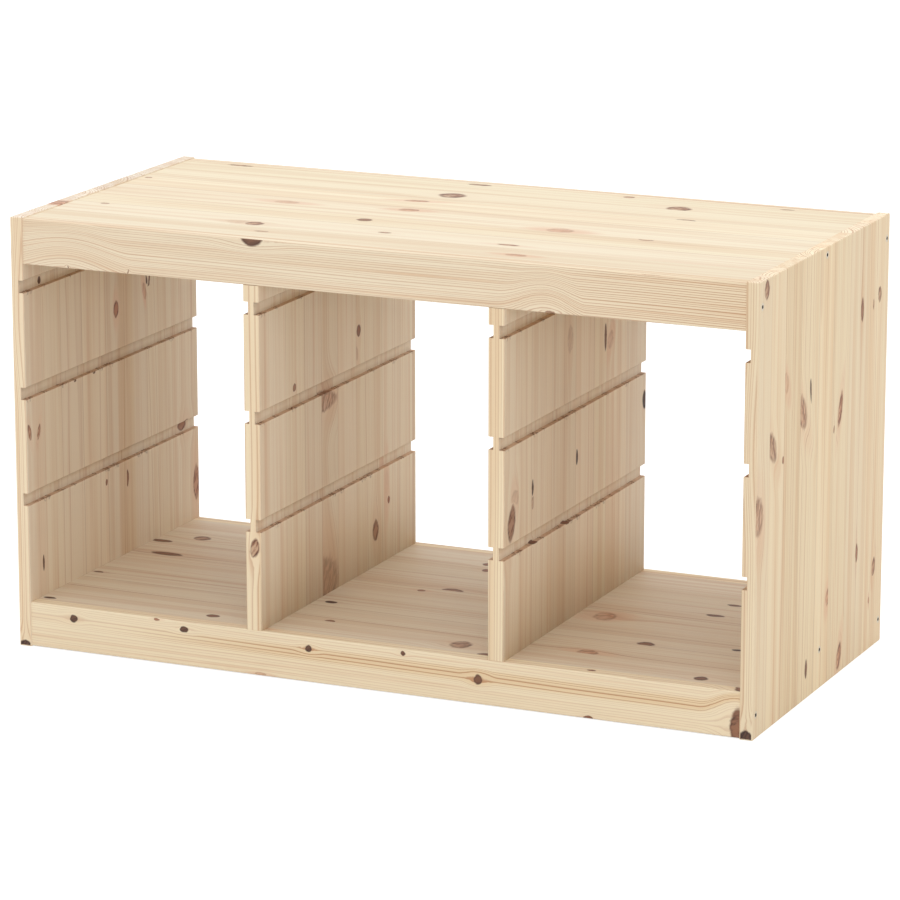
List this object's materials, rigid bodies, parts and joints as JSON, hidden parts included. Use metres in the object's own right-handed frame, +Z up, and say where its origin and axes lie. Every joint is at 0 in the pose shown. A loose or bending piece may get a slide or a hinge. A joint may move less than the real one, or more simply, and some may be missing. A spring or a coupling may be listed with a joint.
{
  "type": "toy storage frame",
  "caption": "Low open storage frame in knotty pine with open bays; grooves in its uprights take the rims of pull-out boxes.",
  "frame": {"origin": "on the floor, under the middle of the frame", "axes": "+X to the right along the width, +Y to the rear, +Z up"},
  "size_m": [0.93, 0.44, 0.52],
  "materials": {
    "pine_side": "edge-glued knotty pine, planed and sanded, upright grain, clear unfinished look",
    "pine_divider": "edge-glued knotty pine, planed and sanded, upright grain",
    "pine_panel": "edge-glued knotty pine, planed and sanded, grain from side to side",
    "pine_rail": "one-piece knotty pine, planed and sanded, grain from side to side",
    "zinc": "bright zinc-plated steel, countersunk head with a hexagon socket",
    "beech": "plain beech dowel"
  },
  "bodies": {
    "root": {"left_side_panel": "pine_side", "right_side_panel": "pine_side", "left_divider": "pine_divider", "right_divider": "pine_divider", "top_panel": "pine_panel", "bottom_panel": "pine_panel", "front_upper_rail": "pine_rail", "rear_upper_rail": "pine_rail", "front_lower_rail": "pine_rail", "rear_lower_rail": "pine_rail", "left_upper_screws": "zinc", "right_upper_screws": "zinc", "left_lower_screws": "zinc", "right_lower_screws": "zinc", "left_divider_screws": "zinc", "right_divider_screws": "zinc", "left_upper_dowels": "beech", "right_upper_dowels": "beech", "left_lower_dowels": "beech", "right_lower_dowels": "beech", "left_divider_top_dowels": "beech", "right_divider_top_dowels": "beech", "left_divider_foot_dowels": "beech", "right_divider_foot_dowels": "beech"}
  },
  "joints": []
}
